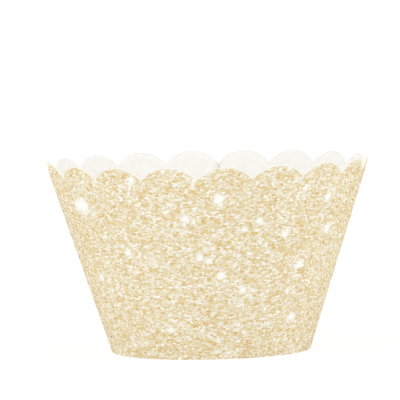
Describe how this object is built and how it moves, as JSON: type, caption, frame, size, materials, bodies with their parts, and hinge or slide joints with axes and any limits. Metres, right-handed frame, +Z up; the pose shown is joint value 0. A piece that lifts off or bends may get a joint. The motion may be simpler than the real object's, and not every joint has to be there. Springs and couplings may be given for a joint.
{
  "type": "cupcake wrapper",
  "caption": "Open cone of glitter card with a scalloped top edge, lapped and locked by a tongue at the back, that stands round a cupcake.",
  "frame": {"origin": "on the cone's axis, in the plane that the wrapper stands on", "axes": "+Z up the cone's axis, towards the scalloped edge; +Y towards the lap at the back"},
  "size_m": [0.0838, 0.0853, 0.0501],
  "materials": {
    "glitter_card": "champagne glitter on the outer face, plain white card inside"
  },
  "bodies": {
    "root": {"wrapper": "glitter_card"}
  },
  "joints": []
}
